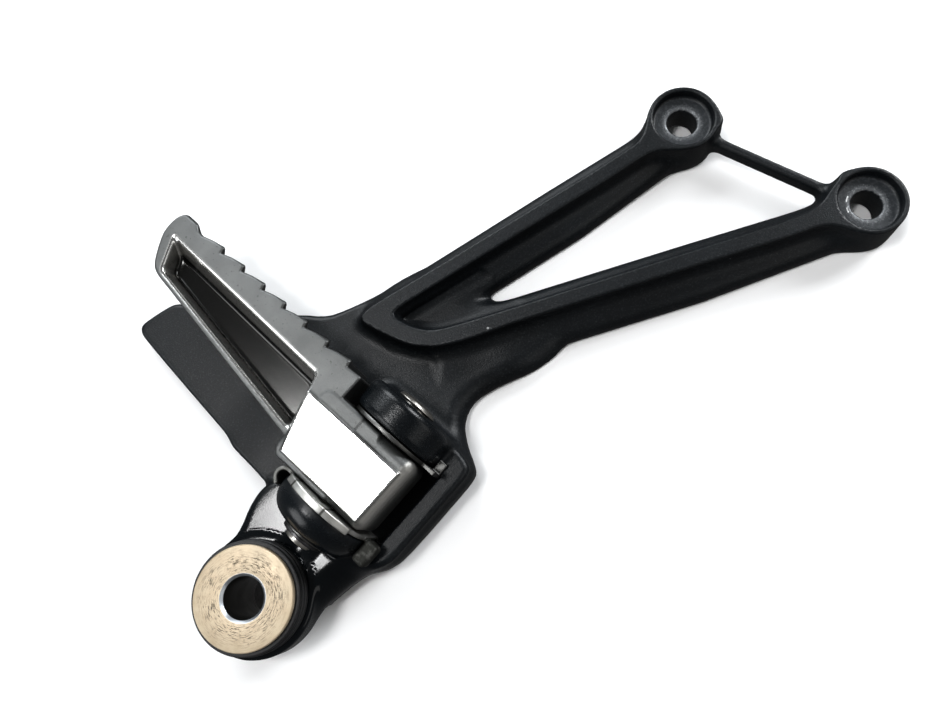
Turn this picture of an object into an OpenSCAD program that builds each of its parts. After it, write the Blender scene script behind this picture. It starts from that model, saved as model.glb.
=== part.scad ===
// Motorcycle passenger footrest hanger with a folding footpeg and a rubber exhaust mount.
// Origin: axis of the upper bolt hole, on the back face. +Z points outboard from the motorcycle.
// -X runs down the hanger to the exhaust mount, +Y is the way the folded footpeg points.

/* [Bolt bosses] */
// Height of the bolt bosses and of the rib tops above the back face
frame_h = 12.5; // [11:0.5:15]
// Distance between the two bolt holes
bolt_pitch = 58.6; // [54:0.2:64]
// Direction of the lower bolt hole seen from the upper one, in degrees
bolt_angle = -78.7; // [-82:0.5:-74]
// Radius of the bolt holes
bolt_r = 4.5; // [4:0.1:5.5]
// Radius of the counterbores
cbore_r = 9; // [8:0.1:9.5]
// Depth of the counterbores
cbore_depth = 3.2; // [1.5:0.1:5]
// Radius of a boss at its rim
boss_r = 10.5; // [10.2:0.1:12]
// Radius that a boss gains from its rim to its back face
boss_draft = 0.8; // [0:0.1:1.5]

/* [Ribbed arms] */
// Width of the rib tops
rib_w = 6.4; // [5:0.1:8]
// Height of the shoulder below the ribs
shoulder_h = 6.2; // [5:0.1:7]
// Reach of the arms past the middle of the rib, on the rear side
flange_rear = 7.2; // [6:0.1:9]
// Reach of the arms past the middle of the rib, on the front side
flange_front = 11.3; // [9:0.1:12]
// Fillet between a rib and its boss
boss_fillet = 7; // [3:0.5:9]
// Thickness of the tie bar between the bosses
tie_w = 2.8; // [2:0.1:5]
// Height of the tie bar
tie_h = 5; // [3:0.1:7]

/* [Body and heel plate] */
// Height of the web between the arms
web_h = 5.6; // [4:0.1:7]
// Height of the smooth body between the arms and the clevis
body_h = 7.4; // [6:0.1:8]
// Thickness of the heel plate
heel_t = 6; // [4:0.1:6.8]
// Reach of the heel plate behind the hinge pin
heel_reach = 88; // [75:1:95]
// Rounding of the body and heel plate edges
edge_r = 2.4; // [1:0.1:3]

/* [Clevis] */
// Distance from the upper bolt hole to the middle of the clevis
clevis_x = 141.5; // [138:0.5:146]
// Free width between the ears
gap_w = 26.1; // [24:0.1:28]
// Thickness of the ear under the pin head
ear_t = 9; // [7:0.1:10]
// Thickness of the domed ear at the clip end
dome_t = 8.6; // [7:0.1:9]
// Radius of the ears round the pin
ear_r = 13.5; // [12:0.1:14]
// Height of the clevis base and of its front wall
base_h = 13; // [11:0.1:14]
// Height of the floor between the ears
floor_h = 4.4; // [3:0.1:4.6]
// Inner face of the front wall, ahead of the pin
wall_y = 16.5; // [16:0.1:18]
// Thickness of the front wall
wall_t = 5.6; // [4:0.1:7]

/* [Hinge pin] */
// Radius of the hinge pin
pin_r = 4; // [3:0.1:5]
// Height of the pin above the back face
pin_z = 19; // [18.8:0.1:20]
// Radius of the pin head
head_r = 6.1; // [5.5:0.1:8]
// Thickness of the pin head
head_t = 1.7; // [1:0.1:3]
// Gap between the pin head and its ear
head_gap = 0.6; // [0.3:0.1:1.5]
// Radial clearance of the pin in the ears and in the footpeg
pin_clear = 0.06; // [0.02:0.01:0.1]
// Thickness of the washer under the clip
washer_t = 1; // [0.6:0.1:1.5]
// Radius of the washer
washer_r = 6.6; // [5.6:0.1:7]
// Depth of the spot face under the washer
spot_d = 0.2; // [0.1:0.1:0.6]
// Room round the washer in the casting
washer_room = 0.7; // [0.3:0.1:1.5]
// Thickness of the retaining clip
clip_t = 1; // [0.6:0.1:1.4]

/* [Side plates] */
// Thickness of the two steel plates beside the footpeg
plate_t = 1.2; // [0.8:0.1:1.6]
// Running gap between each plate and the footpeg
side_gap = 0.3; // [0.1:0.05:0.5]
// Gap between the ears and the footpeg's shoulders
shoulder_gap = 1; // [0.8:0.1:2]
// Radius of the plates round the pin
plate_r = 12.4; // [10:0.1:12.8]

/* [Footpeg] */
// Length of the footpeg from the pin to its tip
peg_len = 87; // [75:0.5:95]
// Front to back depth of the footpeg
peg_depth = 19.4; // [17:0.1:20]
// Side of the footpeg that faces outboard when folded, above the pin
peg_front = 9; // [8:0.1:9.4]
// Distance of the tread from the middle of the clevis
tread_x = 20.6; // [19:0.1:22]
// Number of teeth on the tread
tooth_count = 7; // [4:1:8]
// Distance from tooth to tooth
tooth_pitch = 8.6; // [6:0.1:8.8]
// Height of a tooth
tooth_h = 1.5; // [0.8:0.1:2.2]
// Width of the flat strip beside the teeth
strip_w = 7.4; // [5:0.1:9]
// Depth of the channels
channel_d = 5.2; // [3:0.1:6.5]
// Width of the lower rail
rail_w = 3; // [2:0.1:4]
// Depth of the root from the pin to its end
root_end = 12.9; // [11:0.1:13.2]
// Rounding of the root's end corners
root_round = 4; // [3.5:0.1:5]
// Height of the bright pad on the root
pad_h = 0.7; // [0.3:0.1:0.8]

/* [Detent] */
// Radius of the detent ball
ball_r = 2.5; // [2:0.1:3]
// Distance of the detent bore from the pin
detent_r = 8.4; // [7.4:0.1:8.6]
// Depth of the detent bore
detent_depth = 14; // [10:0.5:18]
// Depth of the two click seats in the stopper plate
seat_d = 0.3; // [0.1:0.05:0.5]
// Wire radius of the detent spring
wire_r = 0.35; // [0.2:0.05:0.5]

/* [Exhaust mount] */
// Distance from the upper bolt hole to the exhaust mount
ring_x = 186; // [182:0.5:190]
// Outer radius of the exhaust boss
ring_r = 16.6; // [15.5:0.1:18]
// Radius of the hole through the exhaust boss
ring_bore_r = 10.5; // [9.8:0.1:12]
// Height of the back face of the exhaust boss
ring_back = 3.6; // [2.5:0.1:5]
// Height of the outboard face of the exhaust boss
ring_top = 13.6; // [12:0.1:14.5]
// Radius of the rubber grommet
grommet_r = 14.7; // [13.9:0.1:15.4]
// Radius of the collar's flange
collar_r = 13.7; // [12:0.1:14]
// Thickness of the collar's flange
flange_t = 1.6; // [1:0.1:3]
// Length of the collar
collar_len = 21.4; // [18:0.1:24]
// Radius of the collar's sleeve
sleeve_r = 7.8; // [6.6:0.1:8.6]
// Radius of the hole through the collar
collar_bore_r = 5.5; // [4.2:0.1:6]
// Clearance of the rubber and the collar in their seats
seat_clear = 0.05; // [0.02:0.01:0.2]

/* [Hidden] */
$fn = 64;
eps = 0.01;
through = 60;

// Faces of the clevis along X: the ear under the pin head is the upper one
upper_in = -clevis_x + gap_w/2;
upper_out = upper_in + ear_t;
lower_in = -clevis_x - gap_w/2;
lower_out = lower_in - dome_t;
spot_x = lower_out + spot_d;
root_upper = upper_in - plate_t - side_gap;
root_lower = lower_in + plate_t + side_gap;

// Places of the lower bolt hole and of the rib's path round the two arms
boss_b = bolt_pitch*[cos(bolt_angle), sin(bolt_angle)];
vertex = [[-104.6, 30.6], [-106.4, 21.5], [-99.5, 11.9]];
neck_a = [-20, 4.6];
rib_path = concat([[0, 0], neck_a], vertex, [boss_b]);
wall_out = -wall_y - wall_t;
peg_back = peg_front - peg_depth;

// A point on the normal side of a path's corner, mitred, at distance d
function unit(v) = v/norm(v);
function side(v) = [-v[1], v[0]];
function corner(a, b, c, d) =
    let (u = unit(b - a), v = unit(c - b), n = unit(side(u) + side(v)))
    b + n*d/(n*side(u));
function edge_points(p, d) =
    let (n = len(p) - 1)
    [for (i = [0:n])
        i == 0 ? p[0] + d*side(unit(p[1] - p[0])) :
        i == n ? p[n] + d*side(unit(p[n] - p[n - 1])) :
        corner(p[i - 1], p[i], p[i + 1], d)];
function reversed(p) = [for (i = [len(p) - 1:-1:0]) p[i]];
function ribbon(p, w) = concat(edge_points(p, w/2), reversed(edge_points(p, -w/2)));

// Half of an arm's section, from the back face up to the rib: [reach, height]
function half_section(reach) =
    let (shoulder = rib_w/2 + 0.46*(reach - rib_w/2))
    [[reach, 0], [reach - 0.5, 1.9], [reach - 1.5, 3.7], [reach - 2.6, 4.9],
     [shoulder + 0.5, shoulder_h - 0.35], [shoulder - 0.6, shoulder_h],
     [rib_w/2 + 1.5, shoulder_h + 0.5], [rib_w/2 + 0.8, shoulder_h + 1.5],
     [rib_w/2 + 0.45, shoulder_h + 3], [rib_w/2, frame_h - 0.5], [rib_w/2 - 0.5, frame_h]];
function arm_ring(at, dir, rear, front) =
    let (n = side(dir),
         rear_half = [for (q = half_section(rear)) [at[0] + n[0]*q[0], at[1] + n[1]*q[0], q[1]]],
         front_half = [for (q = half_section(front)) [at[0] - n[0]*q[0], at[1] - n[1]*q[0], q[1]]])
    concat(front_half, reversed(rear_half));

// Skins a row of rings that all have the same number of points
module skin(rings) {
    n = len(rings[0]);
    last = len(rings) - 1;
    points = [for (r = rings) for (p = r) p];
    sides = [for (i = [0:last - 1]) for (j = [0:n - 1])
        [i*n + j, i*n + (j + 1)%n, (i + 1)*n + (j + 1)%n, (i + 1)*n + j]];
    caps = [[for (j = [n - 1:-1:0]) j], [for (j = [0:n - 1]) last*n + j]];
    polyhedron(points, concat(sides, caps), convexity = 6);
}

// One arm from the junction to its boss; the front reach narrows to a waist before the boss
module arm(from, to) {
    dir = unit(to - from);
    stations = [[0, 0, 1], [0.15, 1, 1], [0.6, 1, 1], [0.8, 0.9, 0.86], [0.9, 0.85, 0.78], [1, 0.85, 0.78]];
    skin([for (s = stations)
        arm_ring(from + s[0]*(to - from), dir,
                 rib_w/2 + 1.6 + (flange_rear - rib_w/2 - 1.6)*s[1], flange_front*s[2])]);
}

module rib_outline() {
    polygon(ribbon(rib_path, rib_w));
    for (c = [[0, 0], boss_b])
        intersection() {
            offset(r = -boss_fillet) offset(delta = boss_fillet) {
                polygon(ribbon(rib_path, rib_w));
                translate(c) circle(boss_r);
            }
            translate(c) circle(boss_r + 2.4*boss_fillet);
        }
}

// Cone or dome that rounds an upper edge when it is swept round an outline
module dome(r) {
    intersection() {
        sphere(r, $fn = 12);
        translate([-r, -r, 0]) cube([2*r, 2*r, r]);
    }
}
module rounded_slab(h, r) {
    minkowski() {
        linear_extrude(h - r) offset(delta = -r) children();
        dome(r);
    }
}

module body_outline() {
    offset(r = -5, $fn = 32) offset(r = 5, $fn = 32) polygon([
        [-164, 12], [-164, 26], [-162.6, 38], [-156, 41], [-130, 42], [-118, 45], [-104, 37.6],
        [-90, 33.4], [-84, 24], [-80.5, 12], [-78, 4], [-72, -4], [-76, -17.6], [-86, -15.8], [-98, -9.8],
        [-106, -7.4], [-112.5, -9.4], [-116.5, -14], [-121.3, wall_out + 1.2], [-124, wall_out],
        [-155, wall_out], [-162, -17]]);
}
module heel_outline() {
    offset(r = -4, $fn = 32) offset(r = 4, $fn = 32) polygon([
        [-163.7, 24], [-161, 60], [-158.6, heel_reach - 2], [-156.6, heel_reach],
        [-145.6, heel_reach - 2], [-142.5, heel_reach - 6], [-125, 56], [-115.4, 44.2], [-119, 30]]);
}
module base_outline() {
    offset(r = -6, $fn = 32) offset(r = 6, $fn = 32) {
        polygon([
            [upper_out, 13], [upper_out, -12], [upper_out - 1.6, wall_out + 1.4], [upper_out - 4, wall_out],
            [lower_in, wall_out], [lower_out + 0.4, -17.6], [-ring_x + 9, -15.2], [-ring_x + 9, 16],
            [-170, 19.4], [lower_out, 20], [lower_in - 3, 16]]);
        translate([-ring_x, 0]) circle(ring_r);
    }
}

module boss(at) {
    translate(at) cylinder(h = frame_h, r1 = boss_r + boss_draft, r2 = boss_r);
}
module bolt_hole(at) {
    translate([at[0], at[1], -1]) cylinder(h = frame_h + 2, r = bolt_r);
    translate([at[0], at[1], frame_h - cbore_depth]) cylinder(h = cbore_depth + 1, r = cbore_r);
}
module along_pin(x) {
    translate([x, 0, pin_z]) rotate([0, 90, 0]) children();
}
module ear(from, to) {
    along_pin(from) cylinder(h = to - from, r = ear_r);
    translate([from, -ear_r, 0]) cube([to - from, 2*ear_r, pin_z]);
}
module domed_ear() {
    along_pin(lower_in) rotate([180, 0, 0]) rotate_extrude() polygon([
        [0, 0], [ear_r, 0], [ear_r, 2.6], [ear_r - 0.8, 4.2], [ear_r - 2.4, 6.2], [ear_r - 4.4, 7.7],
        [washer_r + 0.8, dome_t], [0, dome_t]]);
    translate([lower_in - 3.4, 0.3 - ear_r, 0]) cube([3.4, 2*ear_r - 0.6, pin_z - 1]);
}
module tie_bar() {
    n = side(unit(boss_b))*tie_w/2;
    translate([0, 0, 8.5 - tie_h]) linear_extrude(tie_h) polygon([n, -n, boss_b - n, boss_b + n]);
}

// The casting as it leaves the mould; minkowski() blends its slabs, lofts and ribs into one skin
module casting() {
    $fn = 40;
    minkowski() difference() {
        union() {
            translate([0, 0, web_h - 1]) minkowski() {
                linear_extrude(frame_h - web_h + 0.5) offset(delta = -0.5) rib_outline();
                cylinder(h = 0.5, r1 = 0.5, r2 = 0, $fn = 8);
            }
            arm(vertex[0], [0, 0]);
            arm(vertex[2], boss_b);
            rounded_slab(body_h, edge_r) body_outline();
            rounded_slab(heel_t, edge_r) heel_outline();
            rounded_slab(base_h, 4) base_outline();
            boss([0, 0]);
            boss(boss_b);
            ear(upper_in, upper_out);
            domed_ear();
            tie_bar();
        }
        pocket();
        clip_relief();
        clevis_space();
        exhaust_faces();
    }
}
module hanger() {
    color("#2b2f33") difference() {
        casting();
        for (c = [[0, 0], boss_b]) bolt_hole(c);
        translate([-ring_x, 0, -1]) cylinder(h = through, r = ring_bore_r);
        along_pin(lower_out - 1) cylinder(h = upper_out - lower_out + 2, r = pin_r + pin_clear);
    }
}
// Hollow between the ribs at the junction, down to the web
module pocket() {
    translate([0, 0, web_h]) linear_extrude(through) offset(r = 1.5) offset(delta = -1.5) polygon([
        [-101.6, 26.4], [-100, 17.6], [-94.6, 12.6], [-80, 3.6], [-70, 4], [-72, 17]]);
}
// Room for the washer and the clip above the boss of the exhaust mount
module clip_relief() {
    along_pin(spot_x - 8) cylinder(h = 8, r = washer_r + washer_room);
}
// Space between the ears, open to the rear and outboard
module clevis_space() {
    translate([lower_in, -wall_y, floor_h]) cube([gap_w, wall_y + 34, through]);
}
module exhaust_faces() {
    translate([-ring_x, 0, ring_top]) cylinder(h = through, r = ring_r + 3);
    translate([-ring_x, 0, -1]) cylinder(h = ring_back + 1, r = ring_r + 0.6);
}

module exhaust_grommet() {
    top = collar_len - flange_t - seat_clear;
    lip = grommet_r;
    color("#161616") translate([-ring_x, 0, 0]) rotate_extrude() polygon([
        [sleeve_r + seat_clear, 0.4], [lip - 1.2, 0.4], [lip - 0.4, 1.2], [lip - 0.4, ring_back - seat_clear],
        [ring_bore_r - seat_clear, ring_back - seat_clear], [ring_bore_r - seat_clear, ring_top + seat_clear],
        [lip, ring_top + seat_clear], [lip, ring_top + 1.4], [lip - 1, ring_top + 2], [lip - 1, ring_top + 2.5],
        [lip, ring_top + 3.1], [lip, ring_top + 4.1], [lip - 1, ring_top + 4.7], [lip - 1, ring_top + 5.1],
        [lip - 0.3, ring_top + 5.5], [lip - 0.3, top], [sleeve_r + seat_clear, top]]);
}
module exhaust_collar() {
    color("#d8c08c") translate([-ring_x, 0, 0]) difference() {
        rotate_extrude() polygon([
            [collar_bore_r - 1, 0], [sleeve_r, 0], [sleeve_r, collar_len - flange_t], [collar_r, collar_len - flange_t],
            [collar_r, collar_len - 0.4], [collar_r - 0.4, collar_len], [collar_bore_r - 1, collar_len]]);
        translate([0, 0, -1]) cylinder(h = collar_len + 2, r = collar_bore_r);
        translate([0, 0, collar_len - 0.5]) cylinder(h = 0.6, r1 = collar_bore_r, r2 = collar_bore_r + 0.6);
    }
}

// Plan of the footpeg seen from outboard: saw teeth on the tread side, a long taper below
function tread_points() =
    let (x = -clevis_x + tread_x, start = peg_len - 15)
    concat([for (i = [0:tooth_count - 1]) let (y = start - i*tooth_pitch)
        each [[x - tooth_h, y + tooth_pitch - 1.2], [x - 0.3, y + 0.8], [x, y], [x - tooth_h - 0.2, y - 0.9]]]);
module peg_outline() {
    x = -clevis_x + tread_x;
    polygon(concat(
        [[x - 9, peg_len + 2], [x - 6.5, peg_len + 2.8], [x - 3.4, peg_len + 2.8], [x - 1, peg_len + 1.6],
         [x + 0.2, peg_len - 0.6], [x, peg_len - 3], [x - 1.2, peg_len - 5]],
        tread_points(),
        [[x - 1.2, 6], [x - 25, 6], [x - 27, 18], [x - 19.5, peg_len - 12], [x - 18.6, peg_len - 5],
         [x - 16.4, peg_len - 2.2]]));
}
module channel() {
    x = -clevis_x + tread_x - strip_w;
    low = -clevis_x + tread_x - 27 + rail_w;
    hull() {
        linear_extrude(0.2) polygon([
            [x, peg_len - 4], [x - 1.4, 25], [low + 0.2, 20.5], [low + 7.1, peg_len - 12], [low + 7.4, peg_len - 6]]);
        translate([0, 0, -channel_d]) linear_extrude(0.2) polygon([
            [x - 3.4, peg_len - 7], [x - 4.8, 25], [low + 1.4, 21.5], [low + 8.1, peg_len - 12.6]]);
    }
}
module footpeg() {
    color("#b9bcbd") difference() {
        union() {
            translate([0, 0, pin_z + peg_back]) linear_extrude(peg_depth) offset(r = 0.3) offset(delta = -0.3) peg_outline();
            root_block();
        }
        translate([0, 0, pin_z + peg_front]) channel();
        translate([0, 0, pin_z + peg_back]) mirror([0, 0, 1]) channel();
        along_pin(root_upper) cylinder(h = ear_t + 20, r = ear_r + shoulder_gap + 0.6);
        translate([root_upper, -through, 0]) cube([through, through + ear_r + shoulder_gap, through]);
        translate([root_lower - through, -through, 0]) cube([through, through + ear_r + shoulder_gap, through]);
        along_pin(root_lower - 1) cylinder(h = root_upper - root_lower + 2, r = pin_r + pin_clear);
        translate([root_lower - 1, detent_r, pin_z]) rotate([0, 90, 0]) cylinder(h = detent_depth + 1, r = ball_r + 0.1);
    }
}
// Block that turns between the ears, rounded at its end so that it clears the floor and the wall
module root_block() {
    r = root_round;
    bottom = peg_back + 1.4;
    translate([root_lower, 0, pin_z]) rotate([90, 0, 90]) linear_extrude(root_upper - root_lower)
        union() {
            translate([0, bottom]) square([26, peg_front - bottom]);
            offset(r = r) translate([-root_end + r, bottom + r]) square([root_end, peg_front - bottom - 2*r]);
        }
    translate([0, 0, pin_z + peg_front - 1]) linear_extrude(1 + pad_h) polygon([
        [root_upper - 4.6, 23.4], [root_upper - 4.6, -root_end + 2.2], [root_lower + 2, -root_end + 2.2],
        [root_lower + 2, 17.4]]);
}

module hinge_pin() {
    tail = spot_x - washer_t - clip_t - 1.7;
    head = upper_out + head_gap;
    groove = spot_x - washer_t - clip_t - 0.15;
    color("#a8a49c") difference() {
        union() {
            along_pin(tail) cylinder(h = head - tail + eps, r = pin_r);
            along_pin(head) rotate_extrude() polygon([
                [0, 0], [head_r - 0.3, 0], [head_r, 0.3], [head_r, head_t - 0.5], [head_r - 0.5, head_t], [0, head_t]]);
        }
        along_pin(groove) difference() {
            cylinder(h = clip_t + 0.1, r = pin_r + 1);
            translate([0, 0, -1]) cylinder(h = clip_t + 3, r = pin_r - 0.8);
        }
    }
}
module pin_washer() {
    color("#9a9a9a") along_pin(spot_x - washer_t) difference() {
        cylinder(h = washer_t, r = washer_r);
        translate([0, 0, -1]) cylinder(h = washer_t + 2, r = pin_r + 0.15);
    }
}
module pin_clip() {
    color("#555555") along_pin(spot_x - washer_t - clip_t - 0.1) difference() {
        cylinder(h = clip_t, r = pin_r + 2);
        translate([0, 0, -1]) cylinder(h = clip_t + 2, r = pin_r - 0.75);
        translate([0, -2.2, -1]) cube([through, 4.4, clip_t + 2]);
    }
}

// Steel plate against the domed ear, hooked round its rear edge and bent over the front wall
module stopper_plate() {
    x = lower_in;
    color("#c9c9c4") difference() {
        union() {
            along_pin(x) cylinder(h = plate_t, r = plate_r);
            translate([x, -ear_r - 0.3, floor_h + 0.1]) cube([plate_t, 2*ear_r + 1.8, pin_z - floor_h - 0.1]);
            translate([x - 3.6, ear_r + 0.3, base_h + 0.6]) cube([plate_t + 3.6, 1.2, pin_z - base_h + 4]);
            translate([x - 5.6, -ear_r - 3.4, base_h + 0.1]) cube([plate_t + 5.6, 3.1, 6]);
        }
        along_pin(x - 1) cylinder(h = plate_t + 2, r = pin_r + 0.15);
        for (seat = [[detent_r, 0], [0, detent_r]])
            translate([x + plate_t + ball_r - seat_d, seat[0], pin_z + seat[1]]) sphere(ball_r);
    }
}
module thrust_plate() {
    color("#8f8f8c") along_pin(upper_in - plate_t) difference() {
        union() {
            cylinder(h = plate_t, r = plate_r);
            translate([-2, -wall_y + 0.2, 0]) cube([8, wall_y, plate_t]);
        }
        translate([0, 0, -1]) cylinder(h = plate_t + 2, r = pin_r + 0.15);
    }
}

module detent_ball() {
    color("#d0d0d0") translate([lower_in + plate_t + ball_r + 0.03, detent_r, pin_z]) sphere(ball_r);
}
// Coil that fills the bore behind the ball
module detent_spring() {
    from = lower_in + plate_t + 2*ball_r + 0.2;
    to = root_lower + detent_depth - 0.1;
    turns = 6;
    steps = 12*turns;
    coil_r = ball_r - wire_r - 0.1;
    length = to - from - 2*wire_r;
    color("#b0b0b0") translate([from + wire_r, detent_r, pin_z]) skin([for (i = [0:steps])
        let (a = 360*turns*i/steps, c = [length*i/steps, coil_r*cos(a), coil_r*sin(a)])
        [for (k = [0:5]) let (b = 60*k) c + wire_r*[sin(b), cos(b)*cos(a), cos(b)*sin(a)]]]);
}

hanger();
exhaust_grommet();
exhaust_collar();
footpeg();
hinge_pin();
pin_washer();
pin_clip();
stopper_plate();
thrust_plate();
detent_ball();
detent_spring();
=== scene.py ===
import math
import time

import bpy
import numpy as np
import openvdb
from mathutils import Euler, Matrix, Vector


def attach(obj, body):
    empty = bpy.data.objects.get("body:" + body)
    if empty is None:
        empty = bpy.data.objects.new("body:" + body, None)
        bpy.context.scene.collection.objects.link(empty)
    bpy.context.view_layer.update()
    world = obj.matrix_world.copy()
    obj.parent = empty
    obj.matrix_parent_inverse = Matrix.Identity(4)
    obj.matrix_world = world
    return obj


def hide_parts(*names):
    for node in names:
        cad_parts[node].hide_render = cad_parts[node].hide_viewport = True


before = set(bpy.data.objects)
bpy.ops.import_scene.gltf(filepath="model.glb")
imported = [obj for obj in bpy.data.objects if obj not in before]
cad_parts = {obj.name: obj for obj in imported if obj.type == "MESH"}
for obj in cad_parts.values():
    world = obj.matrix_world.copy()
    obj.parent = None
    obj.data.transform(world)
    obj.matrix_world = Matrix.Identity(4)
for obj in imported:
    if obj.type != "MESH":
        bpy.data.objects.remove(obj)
startTime = time.time()
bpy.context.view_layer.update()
mm = 0.001
print("frame loaded:", len(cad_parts), "nodes")


camera = {
    "place": (-121.6, -51.4, 217.18),        # mm, in the part's own frame
    "turn": (14.172, 5.860, -48.323),        # degrees, XYZ
    "lens": 28.04,
    "sensor": 36.0,
}


def addCamera(c):
    data = bpy.data.cameras.new("photoCamera")
    data.lens = c["lens"]
    data.sensor_fit = "HORIZONTAL"
    data.sensor_width = c["sensor"]
    data.clip_start = 0.01
    data.clip_end = 20
    cam = bpy.data.objects.new("photoCamera", data)
    cam.location = [v * mm for v in c["place"]]
    cam.rotation_euler = Euler([math.radians(v) for v in c["turn"]], "XYZ")
    bpy.context.scene.collection.objects.link(cam)
    bpy.context.scene.camera = cam
    return cam


addCamera(camera)


def smoothMin(a, b, k):  # the lower of two distances, less a parabola where they come within k: a fillet
    h = np.maximum(k - np.abs(a - b), 0) / k
    return np.minimum(a, b) - h * h * k * 0.25


def smoothMax(a, b, k):  # the higher of two distances, plus the same parabola: a rounded edge
    return -smoothMin(-a, -b, k)


def cornerRound(a, b, r):  # both distances at most 0 inside; their common edge is an exact arc of radius r
    u, v = np.maximum(a + r, 0), np.maximum(b + r, 0)
    return np.minimum(np.maximum(a + r, b + r), 0) + np.sqrt(u * u + v * v) - r


def ease(v, a, b):  # 0 below a, 1 above b, with a smooth cubic between
    t = np.clip((v - a) / (b - a), 0, 1)
    return t * t * (3 - 2 * t)


def slab(plan, z, low, high, r):  # a plan distance given height from low to high, with both rims rounded by r
    return cornerRound(plan, np.abs(z - (low + high) / 2) - (high - low) / 2, r)


def softOutline(points, rounds=3):  # cuts each corner at a quarter of its sides, again and again: a smooth loop
    p = np.array(points, float)
    for _ in range(rounds):
        q = np.roll(p, -1, axis=0)
        p = np.stack([p * 0.75 + q * 0.25, p * 0.25 + q * 0.75], 1).reshape(-1, 2)
    return p


def insideOutline(x, y, points):  # distance to the nearest side of a closed outline, negative inside it
    best, sign = None, 1.0
    for a, b in zip(points, np.roll(points, -1, axis=0)):
        ex, ey = b[0] - a[0], b[1] - a[1]
        wx, wy = x - a[0], y - a[1]
        t = np.clip((wx * ex + wy * ey) / (ex * ex + ey * ey), 0, 1)
        d = (wx - ex * t) ** 2 + (wy - ey * t) ** 2
        best = d if best is None else np.minimum(best, d)
        up, down, left = y >= a[1], y < b[1], ex * wy > ey * wx
        sign = np.where((up & down & left) | ~(up | down | left), -sign, sign)
    return sign * np.sqrt(best)


def toPath(x, y, points):  # distance to an open path
    best = None
    for a, b in zip(points[:-1], points[1:]):
        ex, ey = b[0] - a[0], b[1] - a[1]
        wx, wy = x - a[0], y - a[1]
        t = np.clip((wx * ex + wy * ey) / (ex * ex + ey * ey), 0, 1)
        d = (wx - ex * t) ** 2 + (wy - ey * t) ** 2
        best = d if best is None else np.minimum(best, d)
    return np.sqrt(best)


# Samples a distance function on a grid, skins its zero level, then slides each vertex along the
# function's slope until the distance there is zero, and takes the vertex normals from the same slope.
def meshFromVolume(name, shape, box, cell):
    low, high = np.array(box[0], float), np.array(box[1], float)
    count = np.ceil((high - low) / cell).astype(int) + 1
    ax = [(low[i] + cell * np.arange(count[i])).astype(np.float32) for i in range(3)]
    values = np.empty(count, np.float32)
    rows = 48                                  # layers of the grid worked out at a time, to spare memory
    for i in range(0, count[0], rows):
        values[i:i + rows] = shape(ax[0][i:i + rows, None, None], ax[1][None, :, None], ax[2][None, None, :])
    band = 4 * cell                            # distances further from the skin than this aren't needed
    grid = openvdb.FloatGrid(float(band))
    grid.copyFromArray(np.clip(values, -band, band))
    points, tris, quads = grid.convertToPolygons(isovalue=0.0, adaptivity=0.0)
    p = (points.astype(np.float64) * cell + low)
    faces = [f for f in (tris, quads) if len(f)]
    first = p[np.concatenate([f[:, :3] for f in faces])]
    if np.einsum("ij,ij->", first[:, 0], np.cross(first[:, 1], first[:, 2])) < 0:
        faces = [f[:, ::-1] for f in faces]

    def at(q):
        return shape(q[:, 0], q[:, 1], q[:, 2])

    def slope(q, e):
        return np.stack([at(q + d) - at(q - d) for d in np.eye(3) * e], 1) / (2 * e)

    steepEnough, reach = 0.4, 0.4 * cell       # in a crease the slope says little, and no vertex moves far
    for _ in range(2):
        g = slope(p, 0.05)
        gg = (g * g).sum(1)
        move = np.clip(at(p) / np.maximum(gg, steepEnough), -reach, reach)
        p = p - np.where(gg > steepEnough, move, 0)[:, None] * g
    g = slope(p, 0.12)
    normals = g / np.maximum(np.linalg.norm(g, axis=1), 1e-6)[:, None]
    mesh = bpy.data.meshes.new(name)
    loops = np.concatenate([f.ravel() for f in faces]).astype(np.int32)
    sizes = np.concatenate([np.full(len(f), f.shape[1]) for f in faces])
    starts = np.concatenate([[0], np.cumsum(sizes)[:-1]]).astype(np.int32)
    mesh.vertices.add(len(p))
    mesh.vertices.foreach_set("co", (p * mm).astype(np.float32).ravel())
    mesh.loops.add(len(loops))
    mesh.loops.foreach_set("vertex_index", loops)
    mesh.polygons.add(len(starts))
    mesh.polygons.foreach_set("loop_start", starts)
    mesh.polygons.foreach_set("use_smooth", np.ones(len(starts), bool))
    mesh.update(calc_edges=True)
    mesh.validate()
    mesh.normals_split_custom_set_from_vertices(normals.astype(np.float32))
    piece = bpy.data.objects.new(name, mesh)
    bpy.context.scene.collection.objects.link(piece)
    print(f"{name}: {len(p)} vertices, {int((sizes - 2).sum())} triangles, {time.time() - startTime:.1f} s")
    return piece, p


def addMask(piece, name, values):  # a number for each vertex that the materials read
    layer = piece.data.attributes.new(name, "FLOAT", "POINT")
    layer.data.foreach_set("value", np.asarray(values, np.float32))


def roundedProfile(points, radii, steps=5):  # each corner becomes an arc, by a quadratic through it
    p = np.array(points, float)
    n = len(p)
    out = []
    for i in range(n):
        a, b, c = p[i - 1], p[i], p[(i + 1) % n]
        r = radii[i] if hasattr(radii, "__len__") else radii
        la, lc = np.linalg.norm(a - b), np.linalg.norm(c - b)
        r = min(r, 0.45 * la, 0.45 * lc)
        if r <= 0:
            out.append(b[None])
            continue
        s, e = b + (a - b) * r / la, b + (c - b) * r / lc
        t = np.linspace(0, 1, steps)[:, None]
        out.append((1 - t) ** 2 * s + 2 * t * (1 - t) * b + t * t * e)
    return np.concatenate(out)


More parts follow.
